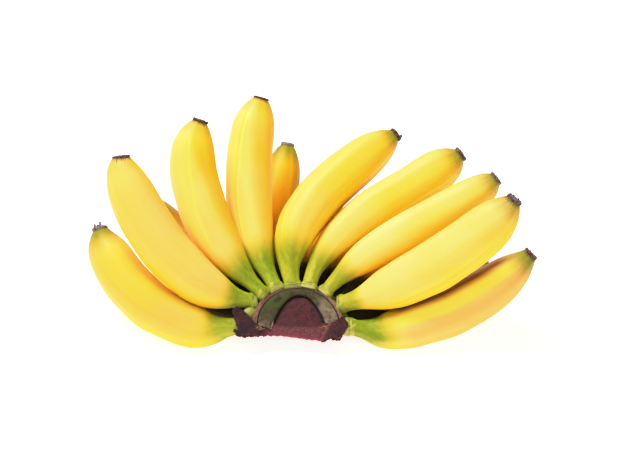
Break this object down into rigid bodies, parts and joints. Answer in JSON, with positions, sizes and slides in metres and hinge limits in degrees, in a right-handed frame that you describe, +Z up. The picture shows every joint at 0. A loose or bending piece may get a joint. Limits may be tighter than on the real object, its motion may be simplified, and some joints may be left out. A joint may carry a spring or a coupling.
{
  "type": "baby banana hand",
  "caption": "Hand of small plump ripe bananas in two fanned rows on a half-round crown with a dried bract and dry blossom ends, lying on its rounded side.",
  "frame": {"origin": "centre of the bounding box's footprint, on the surface the hand rests on", "axes": "+X along the hand's widest spread, +Y away from the crown towards the middle fingers' tips, +Z up from the surface it rests on"},
  "size_m": [0.2538, 0.1402, 0.1011],
  "materials": {
    "ripe_skin": "ripe yellow banana peel, smooth and slightly waxy, green towards the stalk",
    "blossom_scar": "dry brown-black ragged flower remains",
    "crown_green": "green to grey-green fibrous stalk tissue with a dried pinkish-brown rim",
    "dried_bract": "dry dark maroon bract, matt and fuzzy, pinkish along its torn edge"
  },
  "bodies": {
    "root": {"crown": "crown_green", "dried_bract": "dried_bract", "bract_flap_left": "dried_bract", "bract_flap_right": "dried_bract", "upper_finger_1": "ripe_skin", "upper_finger_2": "ripe_skin", "upper_finger_3": "ripe_skin", "upper_finger_4": "ripe_skin", "upper_finger_5": "ripe_skin", "upper_finger_6": "ripe_skin", "upper_finger_7": "ripe_skin", "upper_finger_8": "ripe_skin", "upper_finger_9": "ripe_skin", "lower_finger_1": "ripe_skin", "lower_finger_2": "ripe_skin", "lower_finger_3": "ripe_skin", "lower_finger_4": "ripe_skin", "lower_finger_5": "ripe_skin", "lower_finger_6": "ripe_skin", "lower_finger_7": "ripe_skin", "upper_blossom_1": "blossom_scar", "upper_blossom_2": "blossom_scar", "upper_blossom_3": "blossom_scar", "upper_blossom_4": "blossom_scar", "upper_blossom_5": "blossom_scar", "upper_blossom_6": "blossom_scar", "upper_blossom_7": "blossom_scar", "upper_blossom_8": "blossom_scar", "upper_blossom_9": "blossom_scar", "lower_blossom_1": "blossom_scar", "lower_blossom_2": "blossom_scar", "lower_blossom_3": "blossom_scar", "lower_blossom_4": "blossom_scar", "lower_blossom_5": "blossom_scar", "lower_blossom_6": "blossom_scar", "lower_blossom_7": "blossom_scar"}
  },
  "joints": []
}
